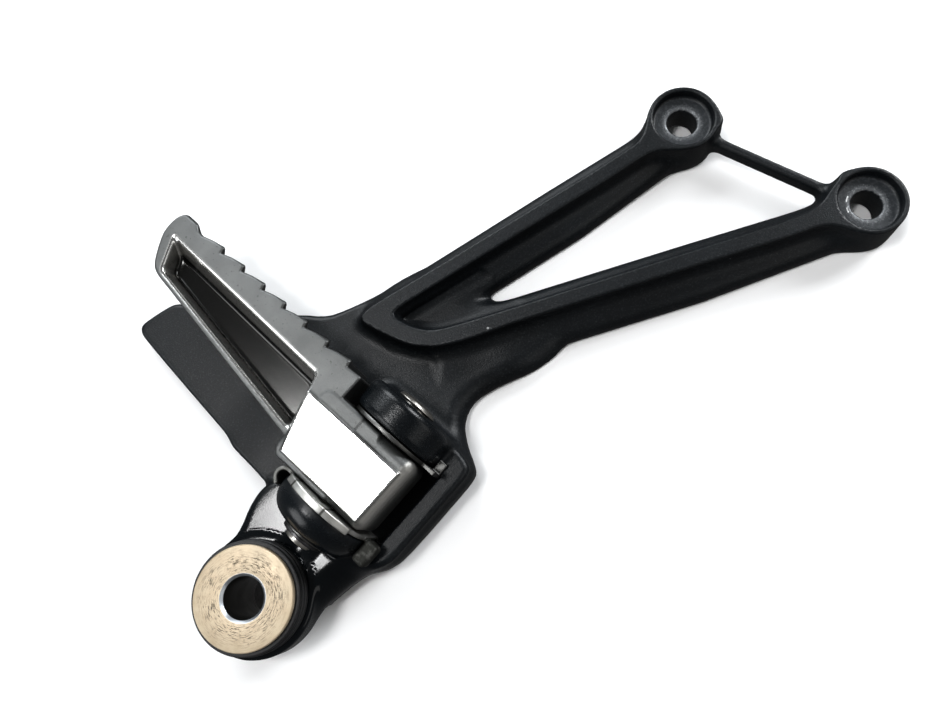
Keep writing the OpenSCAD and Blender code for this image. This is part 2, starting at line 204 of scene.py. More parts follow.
# A closed profile of (radius, height) pairs turned about an axis through centre.
def turned(name, profile, centre, axis="z", around=128):
    n = len(profile)
    angle = np.linspace(0, 2 * math.pi, around, endpoint=False)
    r, h = profile[:, 0][:, None], profile[:, 1][:, None]
    u, v, w = r * np.cos(angle), r * np.sin(angle), h + 0 * angle
    grid = np.stack([w, u, v], 2) if axis == "x" else np.stack([u, v, w], 2)
    p = grid.reshape(-1, 3) + np.array(centre)
    i, j = np.meshgrid(np.arange(n), np.arange(around), indexing="ij")
    i2, j2 = (i + 1) % n, (j + 1) % around
    quads = np.stack([i * around + j, i * around + j2, i2 * around + j2, i2 * around + j], 2).reshape(-1, 4)
    mesh = bpy.data.meshes.new(name)
    mesh.from_pydata((p * mm).tolist(), [], quads.tolist())
    area = 0.5 * np.sum(profile[:, 0] * np.roll(profile[:, 1], -1) - np.roll(profile[:, 0], -1) * profile[:, 1])
    if area < 0:
        mesh.flip_normals()
    mesh.polygons.foreach_set("use_smooth", np.ones(len(mesh.polygons), bool))
    mesh.update()
    piece = bpy.data.objects.new(name, mesh)
    bpy.context.scene.collection.objects.link(piece)
    return piece


hangerSizes = {
    "top": 12.5, "bossB": (11.482, -57.464), "boltR": 4.5, "cboreR": 9.0, "cboreDepth": 3.2,
    "bossR": 10.5, "bossDraft": 0.8, "ribDraft": 0.13, "rim": 0.55, "shoulder": 6.2, "rear": 7.2, "front": 11.3,
    "bodyH": 7.4, "heelT": 6.0, "baseH": 13.0, "floorH": 4.4, "webH": 5.6,
    "ribs": [                                  # outer edge of the raised V, then the rim of its pocket
        [(0, 2.4), (-20.0, 6.5), (-63.1, 19.8), (-82.4, 25.7), (-95.5, 29.9), (-102.1, 32.0), (-107.4, 33.3),
         (-109.9, 33.1), (-110.5, 31.0), (-109.3, 25.2), (-107.5, 18.7), (-106.1, 15.2), (-103.9, 12.0),
         (-101.0, 8.7), (-96.1, 5.2), (-91.0, 2.0), (-80.2, -4.0), (9.9, -60.3), (13, -58), (3, 0)],
        [(0, -2.3), (-20.9, 1.9), (-59.8, 13.9), (-79.6, 20.0), (-93.1, 24.1), (-99.8, 26.1), (-102.2, 26.3),
         (-103.2, 24.9), (-102.6, 21.0), (-101.3, 17.4), (-99.3, 14.2), (-96.6, 11.8), (-92.3, 8.9),
         (-87.0, 5.5), (-72.6, -3.6), (12.0, -55.7), (18, -50), (8, -2)]],
    "earIn": -128.45, "earOut": -119.45, "domeIn": -154.55, "domeOut": -163.15, "spot": 0.2,
    "earR": 13.5, "pinZ": 19.0, "pinBore": 4.06, "wallY": 16.5,
    "ringX": -186.0, "ringR": 16.6, "ringBore": 10.5, "ringBack": 3.6, "ringTop": 13.6,
    "dish": 1.0, "tieW": 2.8, "tieLow": 3.5, "tieHigh": 8.5, "washerR": 7.3,
    "cell": 0.66,
}


def softPath(points, rounds=2):  # the same corner cutting on an open path, with its ends kept
    p = np.array(points, float)
    for _ in range(rounds):
        a, b = p[:-1], p[1:]
        mid = np.stack([a * 0.75 + b * 0.25, a * 0.25 + b * 0.75], 1).reshape(-1, 2)
        p = np.concatenate([p[:1], mid, p[-1:]])
    return p


# Section of an arm: flat under the rib, then a quarter of an ellipse down to the arm's edge, whose reach
# from the middle line changes along the arm and differs between its two sides.
def armShape(x, y, z, start, end, h, crest):
    sx, sy = start
    dx, dy = end[0] - sx, end[1] - sy
    length = math.hypot(dx, dy)
    dx, dy = dx / length, dy / length
    along = ((x - sx) * dx + (y - sy) * dy) / length
    off = -(x - sx) * dy + (y - sy) * dx
    s = np.clip(along, 0, 1)
    rear = 4.8 + (h["rear"] - 4.8) * np.interp(s, [0, 0.15, 0.6, 0.8, 0.92, 1], [0, 1, 1, 0.9, 0.85, 0.85])
    front = h["front"] * np.interp(s, [0, 0.6, 0.8, 0.92, 1], [1, 1, 0.86, 0.78, 0.78])
    reach = np.where(off > 0, rear, front)
    flat = np.where(off > 0, 2.4, 4.0)
    p = np.maximum(np.abs(off) - flat, 0) / (reach - flat)
    q = np.maximum(z, 0) / crest
    d = ((p ** 2.6 + q ** 2.6 + 1e-9) ** (1 / 2.6) - 1) * crest
    ends = np.maximum(-along, along - 1) * length
    return smoothMax(d, ends, 1.5)


def hangerShape(x, y, z):
    h = hangerSizes
    outer = insideOutline(x, y, softOutline(h["ribs"][0], 1))
    inner = insideOutline(x, y, softOutline(h["ribs"][1], 1))
    rib = cornerRound(outer, -inner, 0.01) - h["ribDraft"] * np.clip(h["top"] - z, 0, 7)
    bossA = np.sqrt(x * x + y * y)
    bossB = np.sqrt((x - h["bossB"][0]) ** 2 + (y - h["bossB"][1]) ** 2)
    draft = h["bossDraft"] * np.clip((h["top"] - z) / h["top"], 0, 1)
    ribTop = smoothMin(rib, np.minimum(bossA, bossB) - h["bossR"], 8.0)
    d = slab(ribTop, z, -6, h["top"], h["rim"])
    d = np.maximum(d, 4.2 - z)                                       # ribs stand on the arms
    bosses = slab(np.minimum(bossA, bossB) - h["bossR"] - draft, z, -6, h["top"], h["rim"])
    crest = h["shoulder"]
    arms = smoothMin(armShape(x, y, z, (-104.6, 30.6), (0, 0), h, crest),
                     armShape(x, y, z, (-99.5, 11.9), h["bossB"], h, crest), 5.0)
    body = insideOutline(x, y, softOutline([
        (-164, 12), (-164, 26), (-162.6, 38), (-156, 41), (-130, 42), (-118, 45), (-104, 37.6),
        (-90, 33.4), (-84, 24), (-80.5, 12), (-78, 4), (-72, -4), (-76, -17.6), (-86, -15.8), (-98, -9.8),
        (-106, -7.4), (-112.5, -9.4), (-116.5, -14), (-121.3, -20.9), (-124, -22.1),
        (-155, -22.1), (-162, -17)], 2))
    heel = insideOutline(x, y, softOutline([
        (-163.7, 24), (-161, 60), (-159, 84), (-158.4, 86.6), (-156.8, 88.3), (-154, 88), (-146.4, 86),
        (-144, 84.6), (-142, 81.6), (-125, 56), (-115.4, 44.2), (-119, 30)], 2))
    toHeel, toArm = ease(y, 26, 48), ease(x, -108, -90)
    crestH = h["bodyH"] - (h["bodyH"] - h["heelT"]) * toHeel - (h["bodyH"] - crest) * toArm
    crestH = crestH - 3.0 * ease(x, -92, -75)                        # the body dives under the arms
    crestH = crestH - h["dish"] * np.exp(-((x + 100) / 11) ** 2 - ((y - 0.5) / 8) ** 2)
    edge = 1.9 + 4.0 * ease(x, -126, -108) * (1 - ease(y, 20, 34))
    plate = cornerRound(smoothMin(body, heel, 5.0), z - crestH, edge)
    pocket = cornerRound(np.maximum(inner, x + 74), h["webH"] - z, 1.6)
    low = smoothMin(arms, plate, 5.0)
    low = smoothMax(low, -pocket, 1.6)
    base = slab(insideOutline(x, y, softOutline([
        (-119.45, 13.6), (-119.45, 0), (-119.45, -13), (-120.8, -20.6), (-123.2, -22.1), (-130, -22.1),
        (-150, -22.1), (-155.5, -22), (-163, -17.6), (-177, -15.2), (-190, -14), (-190, 14), (-177, 16.4), (-170, 19.4),
        (-163.15, 20.2), (-157.5, 16.2), (-150, 15), (-126, 15)], 2)), z, -6, h["baseH"],
        1.7 + ease(-x, 158, 165) * (0.8 + 5.5 * ease(-y, -2, 5)))
    earPlan = np.sqrt(y * y + np.maximum(z - h["pinZ"], 0) ** 2) - h["earR"]
    half = (h["earOut"] - h["earIn"]) / 2
    ear = cornerRound(earPlan, np.abs(x - h["earIn"] - half) - half, 2.2)
    dome = cornerRound(earPlan, h["domeOut"] - x, 6.0)
    dome = cornerRound(dome, x - h["domeIn"], 1.0)
    ring = slab(np.sqrt((x - h["ringX"]) ** 2 + y * y) - h["ringR"], z, h["ringBack"], h["ringTop"], 1.6)
    tie = toPath(x, y, np.array([(0, 0), h["bossB"]])) - h["tieW"] / 2
    tie = slab(tie, z, h["tieLow"], h["tieHigh"], 1.1)
    d = smoothMin(d, low, 3.8)
    d = np.minimum(d, smoothMin(bosses, low, 4.0))
    d = smoothMin(d, tie, 3.0)
    clevis = smoothMin(smoothMin(base, ring, 2.0), smoothMin(ear, dome, 1.0), 2.4)
    gapY = np.maximum(-h["wallY"] - y, y - 17.5)
    gap = np.maximum(np.maximum(h["domeIn"] - x, x - h["earIn"]), np.maximum(gapY, h["floorH"] - z))
    d = smoothMin(d, clevis, 4.0)
    d = smoothMax(d, -gap, 0.7)
    clip = np.maximum(np.sqrt(y * y + (z - h["pinZ"]) ** 2) - h["washerR"],
                      np.maximum(x - h["domeOut"] - h["spot"], h["domeOut"] - 8 - x))
    d = smoothMax(d, -clip, 1.4)
    ringGap = np.maximum(np.sqrt((x - h["ringX"]) ** 2 + y * y) - h["ringR"] - 0.6,
                         np.maximum(z - h["ringBack"], -z - 9))
    overRing = np.maximum(np.sqrt((x - h["ringX"]) ** 2 + y * y) - h["ringR"] - 0.4, h["ringTop"] - z)
    d = smoothMax(smoothMax(d, -ringGap, 0.8), -overRing, 1.4)
    nearest = np.minimum(bossA, bossB)
    cbore = slab(nearest - h["cboreR"], z, h["top"] - h["cboreDepth"], 60, 1.0)
    d = smoothMax(d, -cbore, 0.7)
    chamfer = (nearest - h["boltR"] - 0.45 + np.abs(z - h["top"] + h["cboreDepth"])) * 0.7071
    d = smoothMax(d, -np.minimum(nearest - h["boltR"], chamfer), 0.3)
    ringBore = np.sqrt((x - h["ringX"]) ** 2 + y * y) - h["ringBore"]
    pinBore = np.sqrt(y * y + (z - h["pinZ"]) ** 2) - h["pinBore"]
    d = smoothMax(smoothMax(d, -ringBore, 0.5), -pinBore, 0.4)
    return smoothMax(d, -z, 0.9)


hanger, hangerPoints = meshFromVolume(
    "hangerCasting", hangerShape, [(-204.5, -71, -1.2), (25, 91, 34.6)], hangerSizes["cell"])


pegSizes = {
    "tread": -120.9, "tip": 87.0, "low": 8.6, "high": 28.0, "toothPitch": 8.6, "toothH": 1.85, "toothCount": 7,
    "rootUpper": -129.95, "rootLower": -153.05, "rootEnd": -12.9, "pinZ": 19.0, "pinBore": 4.06,
    "shoulder": 14.5, "earClear": 15.1, "depth": 5.2, "ballY": 8.4, "ballBore": 2.6, "boreDepth": 14.0,
    "padH": 0.7, "pad": [(-134.55, 23.4), (-134.55, -10.7), (-151.05, -10.7), (-151.05, 17.4)],
    "cell": 0.372,
}


def pegPlan():
    s = pegSizes
    x, tip = s["tread"], s["tip"]
    teeth = []
    for i in range(s["toothCount"]):
        y = tip - 15 - i * s["toothPitch"]
        teeth += [(x - s["toothH"], y + s["toothPitch"] - 1.2), (x - 0.9, y + 4.2), (x - 0.3, y + 0.9), (x, y),
                  (x - 0.5, y - 0.5), (x - s["toothH"] - 0.2, y - 0.9)]
    tipCurve = softPath([(x - 19.5, tip - 12), (x - 18.7, tip - 5), (x - 16.8, tip - 2.0), (x - 9.5, tip + 2.4),
                         (x - 6.5, tip + 3.0), (x - 3.2, tip + 3.0), (x - 0.6, tip + 1.8), (x + 0.5, tip - 0.6),
                         (x + 0.1, tip - 3.4), (x - 1.4, tip - 5.2), (x - 1.7, tip - 6.0)], 3)
    return np.concatenate([tipCurve, teeth, [(x - 1.2, 6), (x - 25, 6), (x - 27, 18)]])


def sideOf(x, y, a, b):  # signed distance to the line from a to b, positive on its right
    ex, ey = b[0] - a[0], b[1] - a[1]
    n = math.hypot(ex, ey)
    return ((y - a[1]) * -ex + (x - a[0]) * ey) / n


# The channel in a face: four leaning walls and a floor. depthIn grows from 0 at the face into the peg, and
# each wall moves inwards with it.
def channelShape(x, y, depthIn):
    s = pegSizes
    top = s["tread"] - 7.4
    low = s["tread"] - 24.0
    upper = sideOf(x, y, (top - 1.4, 25), (top, 83)) + depthIn * 0.6
    lower = -sideOf(x, y, (low - 0.7, 20.5), (low + 6.2, 75)) + depthIn * 0.30
    tipWall = -sideOf(x, y, (low + 7.2, 81.2), (top + 0.6, 86.2)) + depthIn * 0.3
    rootWall = -sideOf(x, y, (top - 1.4, 25), (low - 0.7, 20.3)) + depthIn * 0.1
    walls = smoothMax(smoothMax(upper, lower, 0.6), smoothMax(tipWall, rootWall, 0.6), 1.6)
    return smoothMax(walls, depthIn - s["depth"], 1.2)


def pegShape(x, y, z):
    s = pegSizes
    plan = insideOutline(x, y, pegPlan())
    d = slab(plan, z, s["low"], s["high"], 0.75)
    bevel = (x - s["tread"] + 0.75) * 0.80 + (z - s["high"]) * 0.60
    recess = s["toothH"] * 1.3 * ease(s["high"] - z, 0.7, 3.3) * ease(y, 18, 24)
    bevel = np.maximum(bevel, (x - s["tread"] + recess) * 0.72)      # the side falls back below the teeth
    d = smoothMax(d, np.where(y > 15, bevel, -5), 0.25)
    middle, halfW = (s["rootUpper"] + s["rootLower"]) / 2, (s["rootUpper"] - s["rootLower"]) / 2
    rootPlan = cornerRound(np.maximum(s["rootEnd"] - y, y - 20), np.abs(x - middle) - halfW, 3.0)
    root = cornerRound(rootPlan, np.abs(z - 19) - 9, 1.3)
    chamfer = (rootPlan + np.abs(z - 19) - 9 + 2.0) * 0.7071
    root = smoothMax(root, np.where(y < 6, chamfer, -9) - 9 * ease(y, -1, 4), 0.8)
    d = smoothMin(d, root, 0.6)
    padPlan = insideOutline(x, y, np.array(s["pad"]))
    d = smoothMin(d, cornerRound(padPlan, z - s["high"] - s["padH"], 0.35), 0.7)
    d = smoothMax(d, -channelShape(x, y, s["high"] - z), 0.9)
    d = smoothMax(d, -channelShape(x, y, z - s["low"]), 0.9)
    pinDist = np.sqrt(y * y + (z - s["pinZ"]) ** 2)
    upperCut = np.maximum(np.minimum(pinDist - s["earClear"], y - s["shoulder"]), s["rootUpper"] - x)
    lowerCut = np.maximum(y - s["shoulder"], x - s["rootLower"])
    d = smoothMax(smoothMax(d, -upperCut, 0.8), -lowerCut, 0.8)
    d = smoothMax(d, -(pinDist - s["pinBore"]), 0.3)
    ball = np.maximum(np.sqrt((y - s["ballY"]) ** 2 + (z - s["pinZ"]) ** 2) - s["ballBore"],
                      x - s["rootLower"] - s["boreDepth"])
    return smoothMax(d, -ball, 0.2)


peg, pegPoints = meshFromVolume(
    "footpegForging", pegShape, [(-155, -14.5, 7.2), (-119, 91.5, 30.2)], pegSizes["cell"])


turnedSizes = {
    "ringX": -186.0, "grommetR": 15.2, "sleeveR": 7.8, "collarR": 13.7, "collarLen": 21.4, "flangeT": 1.6,
    "collarBore": 5.5, "ringBore": 10.5, "ringBack": 3.6, "ringTop": 13.6, "seat": 0.05,
    "pinZ": 19.0, "pinR": 4.0, "headR": 6.1, "headT": 1.7, "headX": -118.85, "spotX": -162.95,
    "washerR": 6.6, "washerT": 1.0, "clipT": 1.0,
}


def grommetProfile(s):
    lip, top = s["grommetR"], s["collarLen"] - s["flangeT"] - s["seat"]
    inner, neck, rt = s["sleeveR"] + s["seat"], s["ringBore"] - s["seat"], s["ringTop"] + s["seat"]
    back = s["ringBack"] - s["seat"]
    points = [(inner, 0.4), (lip - 0.9, 0.4), (lip - 0.9, back), (neck, back),
              (neck, rt), (lip, rt), (lip, rt + 1.5), (lip - 1.1, rt + 1.75), (lip - 1.1, rt + 2.2),
              (lip, rt + 2.5), (lip, rt + 3.7), (lip - 1.1, rt + 3.95), (lip - 1.1, rt + 4.4),
              (lip - 0.3, rt + 4.7), (lip - 0.3, top), (inner, top)]
    radii = [0.1, 0.8, 0.3, 0.1, 0.1, 0.3, 0.6, 0.25, 0.25, 0.5, 0.5, 0.25, 0.25, 0.5, 0.5, 0.1]
    return roundedProfile(points, radii, 5)


def collarProfile(s):
    bore, length = s["collarBore"], s["collarLen"]
    under = length - s["flangeT"]
    points = [(bore, 0.0), (s["sleeveR"], 0.0), (s["sleeveR"], under), (s["collarR"], under),
              (s["collarR"], length), (bore + 0.75, length), (bore, length - 0.75)]
    return roundedProfile(points, [0.2, 0.3, 0.1, 0.3, 0.35, 0.12, 0.15], 5)


grommet = turned("exhaustGrommet", grommetProfile(turnedSizes), (turnedSizes["ringX"], 0, 0), "z", 160)
collar = turned("exhaustCollar", collarProfile(turnedSizes), (turnedSizes["ringX"], 0, 0), "z", 160)


def pinProfile(s):
    tail = s["spotX"] - s["washerT"] - s["clipT"] - 1.7
    groove = s["spotX"] - s["washerT"] - s["clipT"] - 0.15
    head = s["headX"]
    rim, top = s["headR"], s["headT"]
    points = [(0.02, tail), (s["pinR"], tail), (s["pinR"], groove), (s["pinR"] - 0.8, groove),
              (s["pinR"] - 0.8, groove + s["clipT"] + 0.1), (s["pinR"], groove + s["clipT"] + 0.1),
              (s["pinR"], head), (rim - 0.1, head), (rim, head + 0.35), (rim * 0.88, head + top * 0.72),
              (rim * 0.5, head + top * 0.97), (0.02, head + top)]
    return roundedProfile(points, [0, 0.7, 0.1, 0.05, 0.05, 0.1, 0.3, 0.15, 0.3, 1.5, 1.5, 0], 6)


pin = turned("hingePin", pinProfile(turnedSizes), (0, 0, turnedSizes["pinZ"]), "x", 96)


def washerProfile(s):
    inner, outer, face = s["pinR"] + 0.15, s["washerR"], s["spotX"]
    far = face - s["washerT"]
    return roundedProfile([(inner, far), (outer, far), (outer, face), (inner, face)], 0.2, 4)


washer = turned("pinWasher", washerProfile(turnedSizes), (0, 0, turnedSizes["pinZ"]), "x", 96)


plateSizes = {
    "x": -154.53, "t": 1.2, "r": 12.4, "hole": 4.15, "pinZ": 19.0, "earR": 13.5, "floor": 4.5, "base": 13.0,
    "thrustX": -129.65, "clipX": -165.05, "cell": 0.28,
}


def box3(x, y, z, low, high, r):  # a box with every edge rounded by r
    q = [np.abs(v - (a + b) / 2) - (b - a) / 2 + r for v, a, b in zip((x, y, z), low, high)]
    out = np.sqrt(sum(np.maximum(v, 0) ** 2 for v in q))
    return out + np.minimum(np.maximum(np.maximum(q[0], q[1]), q[2]), 0) - r


def stopperShape(x, y, z):
    s = plateSizes
    x0 = s["x"]
    pinDist = np.sqrt(y * y + (z - s["pinZ"]) ** 2)
    disc = cornerRound(pinDist - s["r"] - 0.9, np.abs(x - x0 - s["t"] / 2 - 0.08) - s["t"] / 2 - 0.08, 0.3)
    front = -s["earR"] - 0.3
    tail = box3(x, y, z, (x0, front, s["floor"] + 0.1), (x0 + s["t"], s["earR"] + 1.5, s["pinZ"]), 0.3)
    curl = toPath(x, y, softPath([(x0 + 0.6, 12.0), (x0 + 0.6, 14.9), (x0 - 0.9, 16.1), (x0 - 2.8, 15.9),
                                  (x0 - 4.1, 14.4)], 2))
    hook = cornerRound(curl - s["t"] / 2, np.abs(z - 18.4) - 4.8, 0.4)
    tab = box3(x, y, z, (x0 - 5.6, front - 4.3, s["base"] + 0.1), (x0 + s["t"], front, s["base"] + 6.1), 1.2)
    lip = np.maximum(np.abs(pinDist - s["earR"] - 0.28) - 0.42, np.maximum(np.abs(y) - 10.8, s["pinZ"] - z))
    lip = cornerRound(lip, np.abs(x - x0 - 0.35) - 1.0, 0.25)
    d = smoothMin(smoothMin(disc, tail, 0.3), smoothMin(hook, tab, 0.3), 0.5)
    d = smoothMin(d, lip, 0.4)
    for seatY, seatZ in ((0.0, s["pinZ"] + 8.4), (8.4, s["pinZ"])):
        ball = np.sqrt((x - x0 - s["t"] - 2.2) ** 2 + (y - seatY) ** 2 + (z - seatZ) ** 2) - 2.5
        d = smoothMax(d, -ball, 0.1)
    return smoothMax(d, s["hole"] - pinDist, 0.2)


def thrustShape(x, y, z):
    s = plateSizes
    x0 = s["thrustX"]
    pinDist = np.sqrt(y * y + (z - s["pinZ"]) ** 2)
    across = np.abs(x - x0 - s["t"] / 2) - s["t"] / 2
    disc = cornerRound(pinDist - s["r"], across, 0.3)
    tail = box3(x, y, z, (x0, -16.3, 11.0), (x0 + s["t"], 0.2, 21.0), 0.2)
    foot = box3(x, y, z, (x0, -16.4, s["base"] + 0.1), (x0 + 4.6, -13.75, s["base"] + 1.4), 0.3)
    return smoothMax(smoothMin(smoothMin(disc, tail, 0.6), foot, 0.4), s["hole"] - pinDist, 0.2)


def clipShape(x, y, z):
    s = plateSizes
    pinDist = np.sqrt(y * y + (z - s["pinZ"]) ** 2)
    ring = np.maximum(pinDist - 6.0, 3.25 - pinDist)
    mouth = np.maximum(np.abs(y) - 2.2, z - s["pinZ"])
    ring = smoothMax(ring, -mouth, 0.6)
    return cornerRound(ring, np.abs(x - s["clipX"] - 0.5) - 0.5, 0.2)


stopper, stopperPoints = meshFromVolume(
    "stopperPlate", stopperShape, [(-161.5, -19.6, 3), (-152, 17.6, 34.2)], plateSizes["cell"])
thrust, _ = meshFromVolume(
    "thrustPlate", thrustShape, [(-130.6, -17.6, 5), (-123.9, 14, 33)], plateSizes["cell"])
clip, _ = meshFromVolume(
    "pinClip", clipShape, [(-166, -7.4, 11.5), (-163, 7.4, 26.5)], plateSizes["cell"])


def newMaterial(name):
    m = bpy.data.materials.new(name)
    m.use_nodes = True
    tree = m.node_tree
    shader = tree.nodes["Principled BSDF"]
    place = tree.nodes.new("ShaderNodeTexCoord").outputs["Object"]
    return m, tree, shader, place


def node(tree, kind, inputs=(), **settings):
    n = tree.nodes.new(kind)
    for key, value in settings.items():
        setattr(n, key, value)
    for key, value in dict(inputs).items():
        if hasattr(value, "is_linked"):
            tree.links.new(value, n.inputs[key])
        else:
            n.inputs[key].default_value = value
    return n


def noise(tree, place, scale, detail=3.0, rough=0.5):
    inputs = {"Vector": place, "Scale": scale, "Detail": detail, "Roughness": rough}
    return node(tree, "ShaderNodeTexNoise", inputs).outputs["Fac"]


def remap(tree, value, a, b, c=0.0, d=1.0):
    inputs = {"Value": value, "From Min": a, "From Max": b, "To Min": c, "To Max": d}
    return node(tree, "ShaderNodeMapRange", inputs).outputs["Result"]


def mixColour(tree, factor, a, b):
    n = node(tree, "ShaderNodeMix", data_type="RGBA")
    for key, value in ((0, factor), (6, a), (7, b)):
        if hasattr(value, "is_linked"):
            tree.links.new(value, n.inputs[key])
        else:
            n.inputs[key].default_value = value
    return n.outputs[2]


def calc(tree, op, a, b=0.0, c=0.0):
    n = node(tree, "ShaderNodeMath", operation=op)
    for i, value in enumerate((a, b, c)):
        if hasattr(value, "is_linked"):
            tree.links.new(value, n.inputs[i])
        else:
            n.inputs[i].default_value = value
    return n.outputs[0]


def bump(tree, height, strength, distance):
    inputs = {"Height": height, "Strength": strength, "Distance": distance}
    return node(tree, "ShaderNodeBump", inputs).outputs["Normal"]


def attribute(tree, name):
    return node(tree, "ShaderNodeAttribute", attribute_name=name).outputs["Fac"]


def give(piece, material):
    piece.data.materials.clear()
    piece.data.materials.append(material)


coat = {
    "base": (0.0030, 0.0042, 0.0055, 1), "light": (0.0052, 0.0070, 0.0088, 1), "dust": (0.036, 0.042, 0.046, 1),
    "grain": 2600.0, "roughness": (0.35, 0.47), "glossRoughness": 0.13,
    "chips": [                                 # place in mm, radius in mm, brightness
        (-88.0, 1.6, 12.4, 0.34, 0.4), (-87.5, 1.0, 12.2, 0.28, 0.3), (-72.1, -14.4, 8.6, 0.32, 0.6),
        (-68.1, -16.7, 8.4, 0.28, 0.6)],
    "strokes": [                               # on a bolt seat: from and to angle, radius and width in mm
        (104, 120, 5.75, 0.20, 1.0), (141, 153, 5.85, 0.18, 1.0)],
    # small pits: real dents made by the bump, painted near-black as painted shade in them
    "shadedPits": [(-110.7, -2.8, 4.5, 0.75), (-113.3, -5.9, 3.5, 0.9), (-111.6, -4.4, 4.0, 0.4)],
    "scratch": ((-29.5, -41.4, 9.6), (-26.6, -37.7, 9.9), 0.22),
}


# 1 inside a blob about a point, 0 outside; noise pushes the blob's edge in and out.
def nearPoint(tree, place, point, radius, wobble):
    away = node(tree, "ShaderNodeVectorMath", operation="DISTANCE")
    tree.links.new(place, away.inputs[0])
    away.inputs[1].default_value = [v * mm for v in point]
    length = calc(tree, "ADD", away.outputs["Value"], calc(tree, "MULTIPLY", wobble, radius * mm * 1.1))
    return remap(tree, length, radius * mm * 1.25, radius * mm * 0.95)


def coatMaterial(c):
    m, tree, shader, place = newMaterial("powderCoat")
    grain = noise(tree, place, c["grain"], 2.0, 0.6)
    fine = noise(tree, place, 2300.0, 1.0, 0.5)
    broad = noise(tree, place, 55.0, 3.0)
    wobble = calc(tree, "SUBTRACT", noise(tree, place, 2600.0, 2.0), 0.5)
    speck = remap(tree, fine, 0.56, 0.72)
    gloss, machined = attribute(tree, "gloss"), attribute(tree, "machined")
    colour = mixColour(tree, remap(tree, broad, 0.35, 0.65), c["base"], c["light"])
    dusty = calc(tree, "SUBTRACT", 0.42, calc(tree, "MULTIPLY", gloss, 0.40))
    colour = mixColour(tree, calc(tree, "MULTIPLY", speck, dusty), colour, c["dust"])
    worn = calc(tree, "MULTIPLY", machined, remap(tree, noise(tree, place, 1100.0, 4.0, 0.7), 0.50, 0.60))
    fromBolt = calc(tree, "ADD", attribute(tree, "boltRadius"), calc(tree, "MULTIPLY", wobble, 3.0))
    around = remap(tree, fromBolt, 6.4, 5.4)
    worn = calc(tree, "MULTIPLY", worn, calc(tree, "ADD", calc(tree, "MULTIPLY", around, 0.6), 0.10))
    worn = calc(tree, "MAXIMUM", worn, calc(tree, "MULTIPLY", calc(tree, "MULTIPLY", machined, around), 0.28))
    colour = mixColour(tree, calc(tree, "MULTIPLY", machined, 0.6), colour, (0.055, 0.06, 0.066, 1))
    colour = mixColour(tree, worn, colour, (0.30, 0.31, 0.32, 1))
    marks = [((x, y, z), radius, strength) for x, y, z, radius, strength in c["chips"]]
    boltX, boltY = hangerSizes["bossB"]
    seat = hangerSizes["top"] - hangerSizes["cboreDepth"]
    for first, last, radius, width, strength in c["strokes"]:
        for angle in np.radians(np.linspace(first, last, 8)):
            point = (boltX + radius * math.cos(angle), boltY + radius * math.sin(angle), seat)
            marks.append((point, width, strength))
    low, high, width = c["scratch"]
    line = [b - a for a, b in zip(low, high)]
    marks += [([a + v * step for a, v in zip(low, line)], width, 0.45) for step in np.linspace(0, 1, 9)]
    chips = 0.0
    for point, radius, strength in marks:
        spot = calc(tree, "MULTIPLY", nearPoint(tree, place, point, radius, wobble), strength)
        chips = calc(tree, "MAXIMUM", spot, chips)
    colour = mixColour(tree, chips, colour, (0.62, 0.63, 0.63, 1))
    # the pits painted near-black: painted shade in small dents
    shadedPits = 0.0
    for x, y, z, radius in c["shadedPits"]:
        shadedPits = calc(tree, "MAXIMUM", nearPoint(tree, place, (x, y, z), radius, wobble), shadedPits)
    colour = mixColour(tree, shadedPits, colour, (0.001, 0.001, 0.001, 1))
    tree.links.new(colour, shader.inputs["Base Color"])
    metal = calc(tree, "MULTIPLY", calc(tree, "MAXIMUM", worn, chips), 0.8)
    tree.links.new(metal, shader.inputs["Metallic"])
    rough = remap(tree, grain, 0.3, 0.7, *c["roughness"])
    smooth = remap(tree, grain, 0.3, 0.7, c["glossRoughness"], c["glossRoughness"] + 0.05)
    both = node(tree, "ShaderNodeMix", data_type="FLOAT")
    for key, value in ((0, gloss), (2, rough), (3, smooth)):
        tree.links.new(value, both.inputs[key])
    tree.links.new(both.outputs[0], shader.inputs["Roughness"])
    skin = calc(tree, "ADD", calc(tree, "MULTIPLY", grain, 0.7), calc(tree, "MULTIPLY", fine, 0.3))
    height = calc(tree, "SUBTRACT", skin, calc(tree, "ADD", chips, calc(tree, "MULTIPLY", shadedPits, 3.0)))
    height = calc(tree, "MULTIPLY", height, calc(tree, "SUBTRACT", 1.0, calc(tree, "MULTIPLY", gloss, 0.93)))
    tree.links.new(bump(tree, height, 0.6, 0.00016), shader.inputs["Normal"])
    shader.inputs["Specular IOR Level"].default_value = 0.36
    return m


castMetal = {
    "base": (0.165, 0.169, 0.168, 1), "dark": (0.118, 0.121, 0.120, 1), "polished": (0.62, 0.62, 0.61, 1),
    # the wall colour is painted light on the channel walls and the root's end edge; the floor colour is painted shade,
    # the dim reflection in the channel floor
    "wall": (0.36, 0.355, 0.34, 1), "floor": (0.050, 0.050, 0.049, 1), "speck": (0.06, 0.06, 0.057, 1),
}
